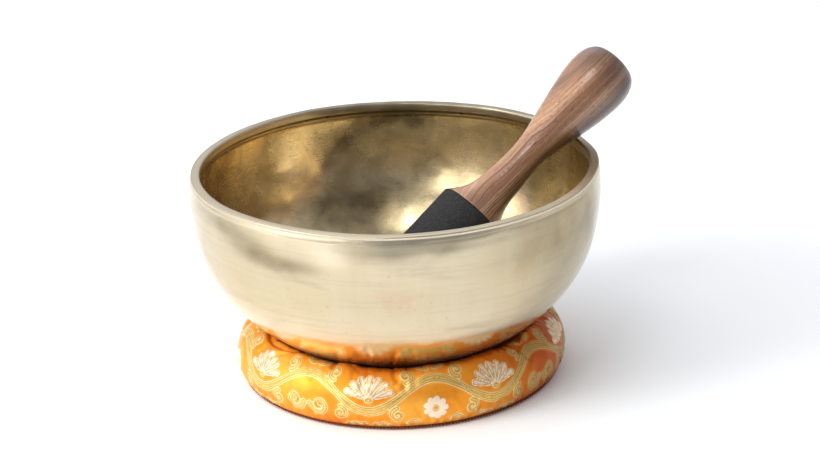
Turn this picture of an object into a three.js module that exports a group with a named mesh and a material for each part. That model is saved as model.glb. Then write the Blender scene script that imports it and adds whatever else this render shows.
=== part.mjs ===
// Singing bowl set: a hammered bowl on a round brocade cushion, with a wooden
// mallet leaning over its rim. Millimetres, +Z up. The origin is the centre of
// the cushion's underside, on the surface the set stands on.
import * as THREE from 'three';

// ---- driving dimensions (mm) -------------------------------------------
const GAP = 0.35;                 // clearance between touching pieces
const SEG = 48;                   // facets around the bowl and the cushion

// bowl: outer wall, radius and height from the foot to just under the lip
const RIM_R = 110.0;              // outer radius of the lip
const RIM_Z = 117.8;              // top of the lip above the floor
const LIP_W = 4.7;                // flat width of the lip
const BOWL_OUTER = [
  [0, 13.0], [12, 13.05], [24, 13.45], [34, 14.7], [44, 17.0], [54, 20.6],
  [62, 24.4], [70, 28.9], [78.8, 35.2], [87.7, 43.1], [95.3, 51.9],
  [101.0, 60.6], [105.1, 69.8], [108.1, 79.8], [110.1, 89.6], [111.1, 99.0],
  [111.2, 107.0], [110.7, 114.2],
];
const WALL_TOP = 3.4;             // wall thickness under the lip
const WALL_BOTTOM = 3.1;          // and at the foot
const BAND_H = 5.0;               // turned band inside the lip

// cushion
const BASE_R = 86.4;              // base panel
const BASE_T = 1.2;
const COVER_T = 1.0;
const BED_GAP = 0.4;              // cushion to bowl
const BED_OUT_R = 73.2;           // where the cushion's crest leaves the bowl
const BED_IN_R = 47.0;            // where the well wall leaves the bowl
const COVER_OUTSIDE = [           // outside of the cover, foot to crest
  [86.9, 1.7], [88.9, 4.2], [90.0, 8.2], [90.1, 12.6], [89.2, 17.4],
  [87.3, 22.0], [84.4, 26.2], [80.6, 29.6], [77.2, 31.3],
];
const WELL = [[43.0, 13.6], [38.6, 10.6], [35.2, 6.6], [33.6, 1.7]];
const SEAM_R = 0.7;               // radius of the stitching cords

// mallet: stations along its axis, measured from the point over the rim,
// negative towards the head
const HANDLE = [
  [-70.5, 19.3], [-68.2, 17.6], [-65, 15.2], [-62, 13.4], [-58, 11.9],
  [-53, 10.75], [-47, 10.1], [-40, 9.7], [-30, 9.3], [-20, 9.9], [-10, 11.7],
  [0, 13.7], [10, 15.8], [18, 17.3], [26, 18.3], [33, 18.4], [39, 17.3],
  [43, 15.2], [45.4, 12.3], [46.5, 8.5], [46.9, 0],
];
const HEAD_END = -159.2;          // station of the head's end face
const CORE_R = 16.2;              // wooden core inside the sleeve
const SLEEVE_R = 20.2;
const SLEEVE_TOP = -70.9;
const MALLET_POINT = [91.9, 29.88, 128.44];   // where station 0 sits
const MALLET_AZ = 28.44;          // axis, degrees from +X towards +Y
const MALLET_EL = 36.86;          // axis, degrees above the floor

// ---- helpers -----------------------------------------------------------
const V = (r, z) => new THREE.Vector2(r, z);

function material(color, roughness, metalness) {
  return new THREE.MeshStandardMaterial({ color, roughness, metalness });
}

function lathe(points, segments = SEG) {
  // a profile that starts and ends on the axis, or closes on itself
  const geometry = new THREE.LatheGeometry(points.map(([r, z]) => V(r, z)), segments);
  geometry.rotateX(Math.PI / 2);   // the lathe turns about Y; the set stands on Z
  return geometry;
}

// signed area in the (r, z) half plane, to keep every profile wound one way
function wound(points) {
  let area = 0;
  for (let i = 0; i < points.length; i++) {
    const [r0, z0] = points[i];
    const [r1, z1] = points[(i + 1) % points.length];
    area += r0 * z1 - r1 * z0;
  }
  return area > 0 ? points : points.slice().reverse();
}

function ring(points, segments = SEG) {
  const p = wound(points);
  return lathe([...p, p[0]], segments);
}

function offset(points, distance) {
  // moves a profile sideways, to the left of its direction of travel
  return points.map(([r, z], i) => {
    const a = points[Math.max(0, i - 1)];
    const b = points[Math.min(points.length - 1, i + 1)];
    const dr = b[0] - a[0], dz = b[1] - a[1];
    const l = Math.hypot(dr, dz);
    return [r - (dz / l) * distance, z + (dr / l) * distance];
  });
}

function mesh(name, geometry, mat) {
  const m = new THREE.Mesh(geometry, mat);
  m.name = name;
  return m;
}

// ---- bowl --------------------------------------------------------------
function bowlProfile() {
  const outer = BOWL_OUTER.map((p) => p.slice());
  const n = outer.length;
  const inner = outer.map(([r, z], i) => {
    const a = outer[Math.max(0, i - 1)];
    const b = outer[Math.min(n - 1, i + 1)];
    const dr = b[0] - a[0], dz = b[1] - a[1];
    const l = Math.hypot(dr, dz);
    const t = WALL_BOTTOM + (WALL_TOP - WALL_BOTTOM) * (i / (n - 1));
    return i === 0 ? [0, z + WALL_BOTTOM] : [r - (dz / l) * t, z + (dr / l) * t];
  });
  inner.pop();                     // the turned band starts here
  const inR = RIM_R - LIP_W;
  const lip = [
    [RIM_R + 0.35, RIM_Z - 1.6], [RIM_R - 0.35, RIM_Z - 0.35], [RIM_R - 1.2, RIM_Z],
    [inR + 1.0, RIM_Z], [inR + 0.15, RIM_Z - 0.4], [inR - 0.1, RIM_Z - 1.4],
    [inR, RIM_Z - BAND_H], [inR + 1.1, RIM_Z - BAND_H - 1.3],
  ];
  return [...outer, ...lip, ...inner.reverse()];
}

// ---- cushion -----------------------------------------------------------
function bowlOuterAt(r) {
  for (let i = 1; i < BOWL_OUTER.length; i++) {
    const [r0, z0] = BOWL_OUTER[i - 1];
    const [r1, z1] = BOWL_OUTER[i];
    if (r <= r1) return z0 + ((z1 - z0) * (r - r0)) / (r1 - r0);
  }
  return RIM_Z;
}

function coverOutside() {
  const bed = [];
  for (const r of [BED_OUT_R, 70, 62, 54, BED_IN_R]) {
    const slope = (bowlOuterAt(r + 1) - bowlOuterAt(r - 1)) / 2;
    bed.push([r, bowlOuterAt(r) - BED_GAP * Math.hypot(1, slope)]);
  }
  return [...COVER_OUTSIDE, ...bed, ...WELL];
}

function coverProfile() {
  const out = coverOutside();
  const inside = offset(out, COVER_T);
  inside[0] = [out[0][0] - COVER_T, out[0][1]];
  inside[inside.length - 1] = [out[out.length - 1][0] + COVER_T, out[out.length - 1][1]];
  return [...out, ...inside.reverse()];
}

function fillingProfile() {
  const out = coverOutside();
  const inside = offset(out, COVER_T + GAP);
  const foot = BASE_T + GAP + 0.25;
  const first = [out[0][0] - COVER_T - GAP - 0.1, foot];
  const last = [out[out.length - 1][0] + COVER_T + GAP + 0.1, foot];
  return [first, ...inside.slice(1, -1), last];
}

function cordRing(r, z) {
  const pts = [];
  for (let i = 0; i < 5; i++) {
    const a = (i / 5) * Math.PI * 2;
    pts.push([r + SEAM_R * Math.cos(a), z + SEAM_R * Math.sin(a)]);
  }
  return ring(pts);
}

// ---- mallet (built upright on its own axis, head down) ----------------
function handleProfile() {
  return [
    [0, HEAD_END], [CORE_R - 0.6, HEAD_END], [CORE_R, HEAD_END + 0.6],
    [CORE_R, SLEEVE_TOP + GAP], ...HANDLE.map(([s, r]) => [r, s]),
  ];
}

function sleeveProfile() {
  const inner = CORE_R + GAP;
  const end = HEAD_END + 0.1;
  return [
    [inner, end], [SLEEVE_R - 0.9, end], [SLEEVE_R, end + 0.9],
    [SLEEVE_R, SLEEVE_TOP - 0.7], [SLEEVE_R - 0.7, SLEEVE_TOP], [inner, SLEEVE_TOP],
  ];
}

// ---- assembly ----------------------------------------------------------
const brass = material(0xb9a57a, 0.32, 1.0);
const brocade = material(0xe88a1c, 0.55, 0.0);
const cotton = material(0x6b1f18, 0.9, 0.0);
const wadding = material(0xe9e2d2, 1.0, 0.0);
const thread = material(0x5a2414, 0.8, 0.0);
const rosewood = material(0x7a4630, 0.42, 0.0);
const sleeveBlack = material(0x232324, 0.8, 0.0);

const cushion = new THREE.Group();
cushion.add(
  mesh('cushion_cover', ring(coverProfile()), brocade),
  mesh('cushion_base_panel', lathe([
    [0, 0], [BASE_R - 0.3, 0], [BASE_R, 0.3], [BASE_R, BASE_T], [0, BASE_T],
  ]), cotton),
  mesh('cushion_filling', ring(fillingProfile()), wadding),
  mesh('cushion_outer_seam', cordRing(BASE_R + 1.75, 1.0), thread),
  mesh('cushion_inner_seam', cordRing(WELL[WELL.length - 1][0] - 1.1, BASE_T + 1.05), thread),
);

const bowl = new THREE.Group();
bowl.add(mesh('singing_bowl', lathe(bowlProfile()), brass));

const mallet = new THREE.Group();
const az = THREE.MathUtils.degToRad(MALLET_AZ);
const el = THREE.MathUtils.degToRad(MALLET_EL);
const axis = new THREE.Vector3(
  Math.cos(el) * Math.cos(az), Math.cos(el) * Math.sin(az), Math.sin(el));
mallet.quaternion.setFromUnitVectors(new THREE.Vector3(0, 0, 1), axis);
mallet.position.set(...MALLET_POINT);
mallet.add(
  mesh('mallet_handle', lathe(handleProfile(), 30), rosewood),
  mesh('mallet_sleeve', ring(sleeveProfile(), 30), sleeveBlack),
);

const set = new THREE.Group();
set.add(cushion, bowl, mallet);

export default set;
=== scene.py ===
import math

import bpy
import numpy as np
from mathutils import Matrix, Vector


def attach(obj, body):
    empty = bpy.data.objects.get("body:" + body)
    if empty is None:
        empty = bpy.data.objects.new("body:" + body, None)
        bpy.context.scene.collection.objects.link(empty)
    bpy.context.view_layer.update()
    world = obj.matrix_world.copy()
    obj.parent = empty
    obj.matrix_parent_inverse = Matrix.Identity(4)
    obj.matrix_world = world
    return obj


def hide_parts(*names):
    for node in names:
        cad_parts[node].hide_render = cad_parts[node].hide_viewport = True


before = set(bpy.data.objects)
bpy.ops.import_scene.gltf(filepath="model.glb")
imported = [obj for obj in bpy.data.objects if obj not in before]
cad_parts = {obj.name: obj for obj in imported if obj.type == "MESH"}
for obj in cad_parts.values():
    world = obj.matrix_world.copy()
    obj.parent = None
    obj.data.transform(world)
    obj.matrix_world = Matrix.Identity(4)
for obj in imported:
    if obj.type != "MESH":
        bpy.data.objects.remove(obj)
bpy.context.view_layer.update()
MM = 0.001
rng = np.random.default_rng(20261117)

# =====================================================================
# camera: 21 degrees above the floor, rolled by 2 degrees
# =====================================================================
ELEV, ROLL, DIST, AIM_Z, SIDE = 21.064, 2.005, 1.320, 0.0786, 0.00733
FOCAL_PX = 2409.8
e, ro = math.radians(ELEV), math.radians(ROLL)
fwd = Vector((0, math.cos(e), -math.sin(e)))
rt = Vector((1, 0, 0))
up = rt.cross(fwd)
cam_right = rt * math.cos(ro) - up * math.sin(ro)
cam_up = rt * math.sin(ro) + up * math.cos(ro)
cam_data = bpy.data.cameras.new("camera")
cam_data.sensor_width = 36.0
cam_data.lens = FOCAL_PX * 36.0 / 820.0
cam = bpy.data.objects.new("camera", cam_data)
bpy.context.scene.collection.objects.link(cam)
m = Matrix.Identity(4)
for i in range(3):
    m[i][0], m[i][1], m[i][2] = cam_right[i], cam_up[i], -fwd[i]
m.translation = Vector((SIDE, -DIST * math.cos(e), AIM_Z + DIST * math.sin(e)))
cam.matrix_world = m
cam_data.clip_start, cam_data.clip_end = 0.05, 50
bpy.context.scene.camera = cam


# =====================================================================
# mesh helpers
# =====================================================================
def make_mesh(name, verts, quads=None, tris=None, attrs=None, smooth=True):
    """verts (n,3) in metres; quads (m,4) and tris (k,3) of indices; attrs {name: (n,)}"""
    me = bpy.data.meshes.new(name)
    verts = np.asarray(verts, np.float32)
    quads = np.zeros((0, 4), np.int32) if quads is None or len(quads) == 0 else np.asarray(quads, np.int32)
    tris = np.zeros((0, 3), np.int32) if tris is None or len(tris) == 0 else np.asarray(tris, np.int32)
    me.vertices.add(len(verts))
    me.vertices.foreach_set("co", verts.ravel())
    loops = np.concatenate([quads.ravel(), tris.ravel()]).astype(np.int32)
    me.loops.add(len(loops))
    me.loops.foreach_set("vertex_index", loops)
    n = len(quads) + len(tris)
    me.polygons.add(n)
    sizes = np.concatenate([np.full(len(quads), 4), np.full(len(tris), 3)]).astype(np.int32)
    starts = np.concatenate([[0], np.cumsum(sizes)[:-1]]).astype(np.int32)
    me.polygons.foreach_set("loop_start", starts)
    me.update(calc_edges=True)
    me.validate()
    me.polygons.foreach_set("use_smooth", np.full(len(me.polygons), smooth))
    for k, v in (attrs or {}).items():
        a = me.attributes.new(k, "FLOAT", "POINT")
        a.data.foreach_set("value", np.asarray(v, np.float32).ravel())
    me.update()
    ob = bpy.data.objects.new(name, me)
    bpy.context.scene.collection.objects.link(ob)
    return ob


def spline(pts, n=None, step=None, t=None):
    """natural cubic spline through points, by chord length"""
    p = np.asarray(pts, float)
    s = np.concatenate([[0], np.cumsum(np.linalg.norm(np.diff(p, axis=0), axis=1) ** 0.8)])
    k = len(p)
    h = np.diff(s)
    a = np.zeros((k, k))
    b = np.zeros((k, p.shape[1]))
    a[0, 0] = a[-1, -1] = 1
    for i in range(1, k - 1):
        a[i, i - 1], a[i, i], a[i, i + 1] = h[i - 1], 2 * (h[i - 1] + h[i]), h[i]
        b[i] = 6 * ((p[i + 1] - p[i]) / h[i] - (p[i] - p[i - 1]) / h[i - 1])
    mm = np.linalg.solve(a, b)

    def ev(q):
        i = np.clip(np.searchsorted(s, q, "right") - 1, 0, k - 2)
        hh, u = h[i][:, None], (q - s[i])[:, None]
        w = s[i + 1][:, None] - q[:, None]
        return (mm[i] * w ** 3 + mm[i + 1] * u ** 3) / (6 * hh) + (p[i] / hh - mm[i] * hh / 6) * w + (p[i + 1] / hh - mm[i + 1] * hh / 6) * u

    fine = ev(np.linspace(0, s[-1], 2000))
    arc = np.concatenate([[0], np.cumsum(np.linalg.norm(np.diff(fine, axis=0), axis=1))])
    if n is None:
        n = max(2, int(round(arc[-1] / step)) + 1)
    want = np.linspace(0, arc[-1], n) if t is None else np.asarray(t) * arc[-1]
    return np.stack([np.interp(want, arc, fine[:, j]) for j in range(p.shape[1])], 1)


def arc_length(p):
    return np.concatenate([[0], np.cumsum(np.linalg.norm(np.diff(p, axis=0), axis=1))])


def normals2(p, closed=False):
    """left-hand normals of a profile"""
    d = np.gradient(p, axis=0) if not closed else (np.roll(p, -1, 0) - np.roll(p, 1, 0))
    d /= np.linalg.norm(d, axis=1)[:, None] + 1e-12
    return np.stack([-d[:, 1], d[:, 0]], 1)


def grid_quads(nv, nt, wrap_v=False, flip=False, base=0):
    """quads of an (nv rows) x (nt around) grid, closed around"""
    i = np.arange(nv if wrap_v else nv - 1)
    j = np.arange(nt)
    I, J = np.meshgrid(i, j, indexing="ij")
    I2, J2 = (I + 1) % nv, (J + 1) % nt
    q = np.stack([I * nt + J, I * nt + J2, I2 * nt + J2, I2 * nt + J], -1).reshape(-1, 4)
    return (q[:, ::-1] if flip else q) + base


def value_noise(x, y, z, seed=0, octaves=1):
    """smooth repeatable 3-D value noise in about [-1, 1]"""
    x, y, z = np.broadcast_arrays(np.asarray(x, float), y, z)
    out = np.zeros(x.shape)
    amp, tot = 1.0, 0.0
    for o in range(octaves):
        f = 2 ** o
        r = np.random.default_rng(seed + 101 * o)
        tab = r.uniform(-1, 1, 4096)
        X, Y, Z = x * f + 31.7 * o, y * f + 17.3 * o, z * f + 5.1 * o
        xi, yi, zi = np.floor(X).astype(int), np.floor(Y).astype(int), np.floor(Z).astype(int)
        fx, fy, fz = X - xi, Y - yi, Z - zi
        fx, fy, fz = [v * v * v * (v * (v * 6 - 15) + 10) for v in (fx, fy, fz)]
        acc = 0
        for dx in (0, 1):
            for dy in (0, 1):
                for dz in (0, 1):
                    hsh = ((xi + dx) * 73856093 ^ (yi + dy) * 19349663 ^ (zi + dz) * 83492791) & 4095
                    acc = acc + tab[hsh] * (fx if dx else 1 - fx) * (fy if dy else 1 - fy) * (fz if dz else 1 - fz)
        out += acc * amp
        tot += amp
        amp *= 0.5
    return out / tot


def sstep(a, b, x):
    t = np.clip((x - a) / (b - a), 0, 1)
    return t * t * (3 - 2 * t)


# =====================================================================
# node material helpers
# =====================================================================
class Mat:
    def __init__(self, name):
        self.m = bpy.data.materials.new(name)
        self.m.use_nodes = True
        self.t = self.m.node_tree
        self.t.nodes.clear()
        self.out = self.t.nodes.new("ShaderNodeOutputMaterial")
        self.b = self.t.nodes.new("ShaderNodeBsdfPrincipled")
        self.t.links.new(self.b.outputs[0], self.out.inputs[0])

    def link(self, a, b):
        self.t.links.new(a, b)

    def put(self, node, key, v):
        s = node.inputs[key]
        if isinstance(v, bpy.types.NodeSocket):
            self.link(v, s)
        else:
            s.default_value = v

    def coords(self, kind="Object"):
        n = self.t.nodes.new("ShaderNodeTexCoord")
        return n.outputs[kind]

    def attr(self, name):
        n = self.t.nodes.new("ShaderNodeAttribute")
        n.attribute_name = name
        return n.outputs["Fac"]

    def mapping(self, v, scale=(1, 1, 1), loc=(0, 0, 0), rot=(0, 0, 0)):
        n = self.t.nodes.new("ShaderNodeMapping")
        self.link(v, n.inputs["Vector"])
        n.inputs["Scale"].default_value = scale
        n.inputs["Location"].default_value = loc
        n.inputs["Rotation"].default_value = rot
        return n.outputs[0]

    def xyz(self, x, y, z):
        n = self.t.nodes.new("ShaderNodeCombineXYZ")
        for k, v in zip("XYZ", (x, y, z)):
            self.put(n, k, v)
        return n.outputs[0]

    def sep(self, v):
        n = self.t.nodes.new("ShaderNodeSeparateXYZ")
        self.link(v, n.inputs[0])
        return n.outputs["X"], n.outputs["Y"], n.outputs["Z"]

    def noise(self, v, scale, detail=3, rough=0.55, distort=0.0, out="Fac"):
        n = self.t.nodes.new("ShaderNodeTexNoise")
        self.link(v, n.inputs["Vector"])
        n.inputs["Scale"].default_value = scale
        n.inputs["Detail"].default_value = detail
        n.inputs["Roughness"].default_value = rough
        n.inputs["Distortion"].default_value = distort
        return n.outputs[out]

    def voronoi(self, v, scale, feature="F1", rnd=1.0, out="Distance"):
        n = self.t.nodes.new("ShaderNodeTexVoronoi")
        n.feature = feature
        self.link(v, n.inputs["Vector"])
        n.inputs["Scale"].default_value = scale
        n.inputs["Randomness"].default_value = rnd
        return n.outputs[out]

    def wave(self, v, scale, distort=0, detail=2, kind="BANDS", direction="X", dscale=1.0):
        n = self.t.nodes.new("ShaderNodeTexWave")
        n.wave_type = kind
        if kind == "BANDS":
            n.bands_direction = direction
        self.link(v, n.inputs["Vector"])
        n.inputs["Scale"].default_value = scale
        n.inputs["Distortion"].default_value = distort
        n.inputs["Detail"].default_value = detail
        n.inputs["Detail Scale"].default_value = dscale
        return n.outputs["Fac"]

    def math(self, op, a, b=0.0, c=None, clamp=False):
        n = self.t.nodes.new("ShaderNodeMath")
        n.operation = op
        n.use_clamp = clamp
        self.put(n, 0, a)
        self.put(n, 1, b)
        if c is not None:
            self.put(n, 2, c)
        return n.outputs[0]

    def vmath(self, op, a, b):
        n = self.t.nodes.new("ShaderNodeVectorMath")
        n.operation = op
        self.put(n, 0, a)
        self.put(n, 1, b)
        return n.outputs[0]

    def ramp(self, v, stops, interp="LINEAR"):
        n = self.t.nodes.new("ShaderNodeValToRGB")
        cr = n.color_ramp
        cr.interpolation = interp
        while len(cr.elements) < len(stops):
            cr.elements.new(0.5)
        for el, (p, c) in zip(cr.elements, stops):
            el.position = p
            el.color = (*c, 1) if len(c) == 3 else c
        self.link(v, n.inputs[0])
        return n.outputs[0]

    def remap(self, v, a, b, c=0.0, d=1.0, smooth=True):
        n = self.t.nodes.new("ShaderNodeMapRange")
        n.interpolation_type = "SMOOTHSTEP" if smooth else "LINEAR"
        n.clamp = True
        self.put(n, "Value", v)
        for k, x in zip(("From Min", "From Max", "To Min", "To Max"), (a, b, c, d)):
            n.inputs[k].default_value = x
        return n.outputs[0]

    def mix(self, f, a, b, kind="MIX"):
        n = self.t.nodes.new("ShaderNodeMix")
        n.data_type = "RGBA"
        n.blend_type = kind
        n.clamp_factor = True
        self.put(n, 0, f)
        for key, v in ((6, a), (7, b)):
            if isinstance(v, bpy.types.NodeSocket):
                self.link(v, n.inputs[key])
            else:
                n.inputs[key].default_value = (*v, 1) if len(v) == 3 else v
        return n.outputs[2]

    def bump(self, h, strength, dist, normal=None):
        n = self.t.nodes.new("ShaderNodeBump")
        n.inputs["Strength"].default_value = strength
        n.inputs["Distance"].default_value = dist
        self.link(h, n.inputs["Height"])
        if normal is not None:
            self.link(normal, n.inputs["Normal"])
        return n.outputs[0]

    def set(self, **kw):
        names = {"color": "Base Color", "rough": "Roughness", "metal": "Metallic", "normal": "Normal",
                 "spec": "Specular IOR Level", "sheen": "Sheen Weight", "sheen_rough": "Sheen Roughness",
                 "sheen_tint": "Sheen Tint", "coat": "Coat Weight", "coat_rough": "Coat Roughness", "coat_ior": "Coat IOR", "aniso": "Anisotropic"}
        for k, v in kw.items():
            if isinstance(v, tuple) and len(v) == 3:
                v = (*v, 1)
            self.put(self.b, names[k], v)
        return self.m


# =====================================================================
# bowl
# =====================================================================
RIM_R, RIM_Z, LIP_W = 110.0, 117.8, 4.7
BOWL_OUTER = [
    (0, 13.0), (12, 13.05), (24, 13.45), (34, 14.7), (44, 17.0), (54, 20.6), (62, 24.4), (70, 28.9),
    (78.8, 35.2), (87.7, 43.1), (95.3, 51.9), (101.0, 60.6), (105.1, 69.8), (108.1, 79.8), (110.1, 89.6),
    (111.1, 99.0), (111.2, 107.0), (110.8, 113.2)]


def bowl_section():
    """closed section in mm, from the foot's centre outside, over the lip, to the floor's centre inside, and each point's zone"""
    outer = spline(BOWL_OUTER, step=1.15)
    nrm = normals2(outer)
    t = 3.1 + 0.3 * np.linspace(0, 1, len(outer)) ** 2
    inner = outer + nrm * t[:, None]
    inner[0] = (0, outer[0][1] + 3.1)
    inner = inner[inner[:, 1] < 109.6]
    inner = spline(inner, step=1.15)
    inner[0, 0] = 0
    inR = RIM_R - LIP_W
    # flat lip with small worn edges, then the turned band and groove inside
    lip = [(110.42, 114.7), (110.15, 115.5), (110.0, 116.05), (110.06, 116.4), (110.24, 116.7), (110.3, 117.02), (110.16, 117.34), (109.8, 117.54),
           (109.2, 117.66), (108.2, 117.76), (106.9, 117.82), (106.1, 117.8), (105.66, 117.64), (105.38, 117.3), (105.22, 116.7), (105.12, 115.9),
           (105.1, 114.8), (105.15, 113.7), (105.35, 113.05), (105.8, 112.7), (106.3, 112.4), (106.7, 111.9), (106.95, 111.2), (107.05, 110.4)]
    lip = spline(lip, step=0.32)
    pts = np.vstack([outer, lip, inner[::-1]])
    zone = np.concatenate([np.zeros(len(outer)), np.ones(len(lip)), np.full(len(inner), 2.0)])
    return pts, zone


def dents(th, s, rad, n, size, depth, seed, s_range):
    """sum of shallow round hammer marks on a (angle, arc) grid, in mm; negative is a dent"""
    r = np.random.default_rng(seed)
    out = np.zeros((len(s), len(th)))
    for k in range(n):
        s0 = s_range[0] + (s_range[1] - s_range[0]) * math.sqrt(r.random())
        i0 = np.argmin(abs(s - s0))
        R = max(rad[i0], 8.0)
        t0 = r.uniform(-math.pi, math.pi)
        w = size * r.uniform(0.7, 1.35)
        d = depth * r.uniform(0.4, 1.2)
        rows = np.where(abs(s - s0) < 2.2 * w)[0]
        dt = (th - t0 + math.pi) % (2 * math.pi) - math.pi
        cols = np.where(abs(dt) * R < 2.4 * w)[0]
        if len(rows) == 0 or len(cols) == 0:
            continue
        q = ((s[rows] - s0)[:, None] ** 2 + (dt[cols][None] * rad[rows][:, None]) ** 2) / (w * w)
        out[np.ix_(rows, cols)] -= d * np.exp(-q)
    return out


# patches of painted reflection, darker and lighter, standing in for dim and bright surroundings mirrored in the brass:
# (0 outside, 1 inside, 2 lip), angle, height, half widths in degrees and mm, amount
PAINTED_REFLECTIONS = [
    (0, -142, 110, 11, 5.5, 0.55), (0, -133, 103.5, 9, 5.0, 0.50), (0, -123, 98.0, 13, 4.8, 0.66), (0, -108, 106, 5, 8, -0.28),
    (0, -90, 107, 8, 4.0, 0.25), (0, -71, 109.3, 9, 1.8, 0.22), (0, -34, 96, 21, 26, 0.46), (0, -20, 104, 10, 14, 0.30), (0, -55, 99, 16, 12, 0.24),
    (0, 30, 92, 26, 14, 0.35), (0, 75, 99, 18, 10, 0.30), (0, 112, 84, 22, 12, 0.28), (0, 160, 101, 20, 9, 0.30), (0, -172, 78, 14, 12, 0.12),
    (1, 107, 58, 15, 11, 0.85), (1, 114, 66, 10, 8, 0.30), (1, 30, 78, 14, 12, 0.25), (1, 76, 100, 16, 9, -0.22), (1, 93, 62, 9, 9, 0.45), (1, 125, 90, 4.5, 13, -0.38), (1, 143, 100, 7, 9, -0.15), (1, -60, 70, 25, 14, 0.35), (1, -140, 60, 22, 14, 0.35),
    (2, 88, 116, 50, 8, 0.75), (2, -140, 116, 26, 8, 0.10),
]


def build_bowl():
    pts, zone = bowl_section()
    nt = 360
    th = np.linspace(-math.pi, math.pi, nt, endpoint=False)
    keep = np.ones(len(pts), bool)
    keep[0] = keep[-1] = False            # the two centres are single points
    arc = arc_length(pts)
    nr = -normals2(pts)                   # outwards, away from the metal
    nr = np.where(np.abs(nr) < 1e9, nr, 0)
    rad, hgt = pts[:, 0], pts[:, 1]
    split = np.argmax(zone == 1)
    split2 = np.argmax(zone == 2)
    so, si = arc.copy(), arc[-1] - arc
    # hammer marks outside: soft and shallow; inside: closer and clearer
    D = np.zeros((len(pts), nt))
    D[:split] += dents(th, so[:split], rad[:split], 300, 8.5, 0.12, 5, (30, so[split - 1]))
    D[split2:] += dents(th, si[split2:], rad[split2:], 420, 6.6, 0.16, 9, (0, si[split2]))
    # uneven hand-raised wall, the same inside and outside
    TH, Z = np.meshgrid(th, hgt)
    RR = rad[:, None] + 0 * TH
    wob = 0.30 * np.cos(2 * TH + 0.6) + 0.22 * np.cos(3 * TH - 1.1) + 0.14 * np.cos(5 * TH + 2.0) + 0.10 * np.cos(7 * TH + 0.4)
    wob = wob + 0.45 * value_noise(np.cos(TH) * 3.1, np.sin(TH) * 3.1, Z / 26.0, seed=3, octaves=2)
    wob *= sstep(34, 62, Z)
    near = np.exp(-(((TH - math.radians(18)) / 0.16) ** 2)) * sstep(95, 112, Z)   # where the mallet leans
    wob = wob * (1 - near) - 0.25 * near
    D *= (1 - near)
    D *= np.where(Z < 34, 0.35, 1.0)
    # fine unevenness
    D += 0.05 * value_noise(np.cos(TH) * RR / 7, np.sin(TH) * RR / 7, Z / 7, seed=8, octaves=2)
    lipm = (zone == 1)[:, None]
    lipn = value_noise(np.cos(TH) * 13, np.sin(TH) * 13, Z / 3.0, seed=21, octaves=3)
    D = np.where(lipm, 0.07 * lipn + 0.02 * value_noise(np.cos(TH) * 60, np.sin(TH) * 60, Z, seed=23), D)
    # small casting pits along the groove inside the lip
    pit = np.clip(value_noise(np.cos(TH) * 42, np.sin(TH) * 42, Z / 1.6, seed=31, octaves=2) - 0.42, 0, 1)
    groove = np.exp(-((Z - 111.9) / 1.0) ** 2) * (zone >= 1)[:, None]
    D -= 1.1 * pit * groove
    rise = (0.20 * np.cos(2 * TH - 0.9) + 0.16 * np.cos(3 * TH + 0.5) + 0.1 * np.cos(6 * TH)) * sstep(60, 117, Z) * (1 - near)
    X = (RR + wob + nr[:, 0:1] * D)
    Zf = Z + nr[:, 1:2] * D + rise
    V3 = np.stack([X * np.cos(TH), X * np.sin(TH), Zf], -1)
    rows = np.where(keep)[0]
    grid = V3[rows].reshape(-1, 3) * MM
    n = len(rows)
    quads = grid_quads(n, nt)
    c0, c1 = len(grid), len(grid) + 1
    verts = np.vstack([grid, [[0, 0, pts[0, 1] * MM], [0, 0, pts[-1, 1] * MM]]])
    j = np.arange(nt)
    t0 = np.stack([np.full(nt, c0), (j + 1) % nt, j], -1)
    last = (n - 1) * nt
    t1 = np.stack([np.full(nt, c1), last + j, last + (j + 1) % nt], -1)
    # broad painted reflections: (angle, height, half widths, amount), dark where positive, paler where negative
    tone = np.zeros_like(TH)
    for inner, a0, z0, sa, sz, amt in PAINTED_REFLECTIONS:
        da = (np.degrees(TH) - a0 + 180) % 360 - 180
        side = (zone == 2)[:, None] if inner == 1 else ((zone == 1)[:, None] if inner == 2 else (zone == 0)[:, None])
        q = (da / sa) ** 2 + ((Z - z0) / sz) ** 2
        tone += side * amt * np.exp(-q ** 1.3)
    ragged = value_noise(np.cos(TH) * RR / 9, np.sin(TH) * RR / 9, Z / 9, seed=51, octaves=3)
    tone = tone * (1 + 0.35 * ragged)
    arcs = np.repeat(arc[rows], nt)
    zz = np.repeat(zone[rows], nt)
    dd = D[rows].ravel()
    at = {"arc": np.append(arcs, [arc[0], arc[-1]]) * MM, "zone": np.append(zz, [0, 2]) / 2.0,
          "dent": np.append(dd, [0, 0]), "tone": np.append(tone[rows].ravel(), [0, 0]), "pits": np.append((pit * groove)[rows].ravel(), [0, 0])}
    ob = make_mesh("singing_bowl_shell", verts, quads, np.vstack([t0, t1]), at)
    return ob


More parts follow.
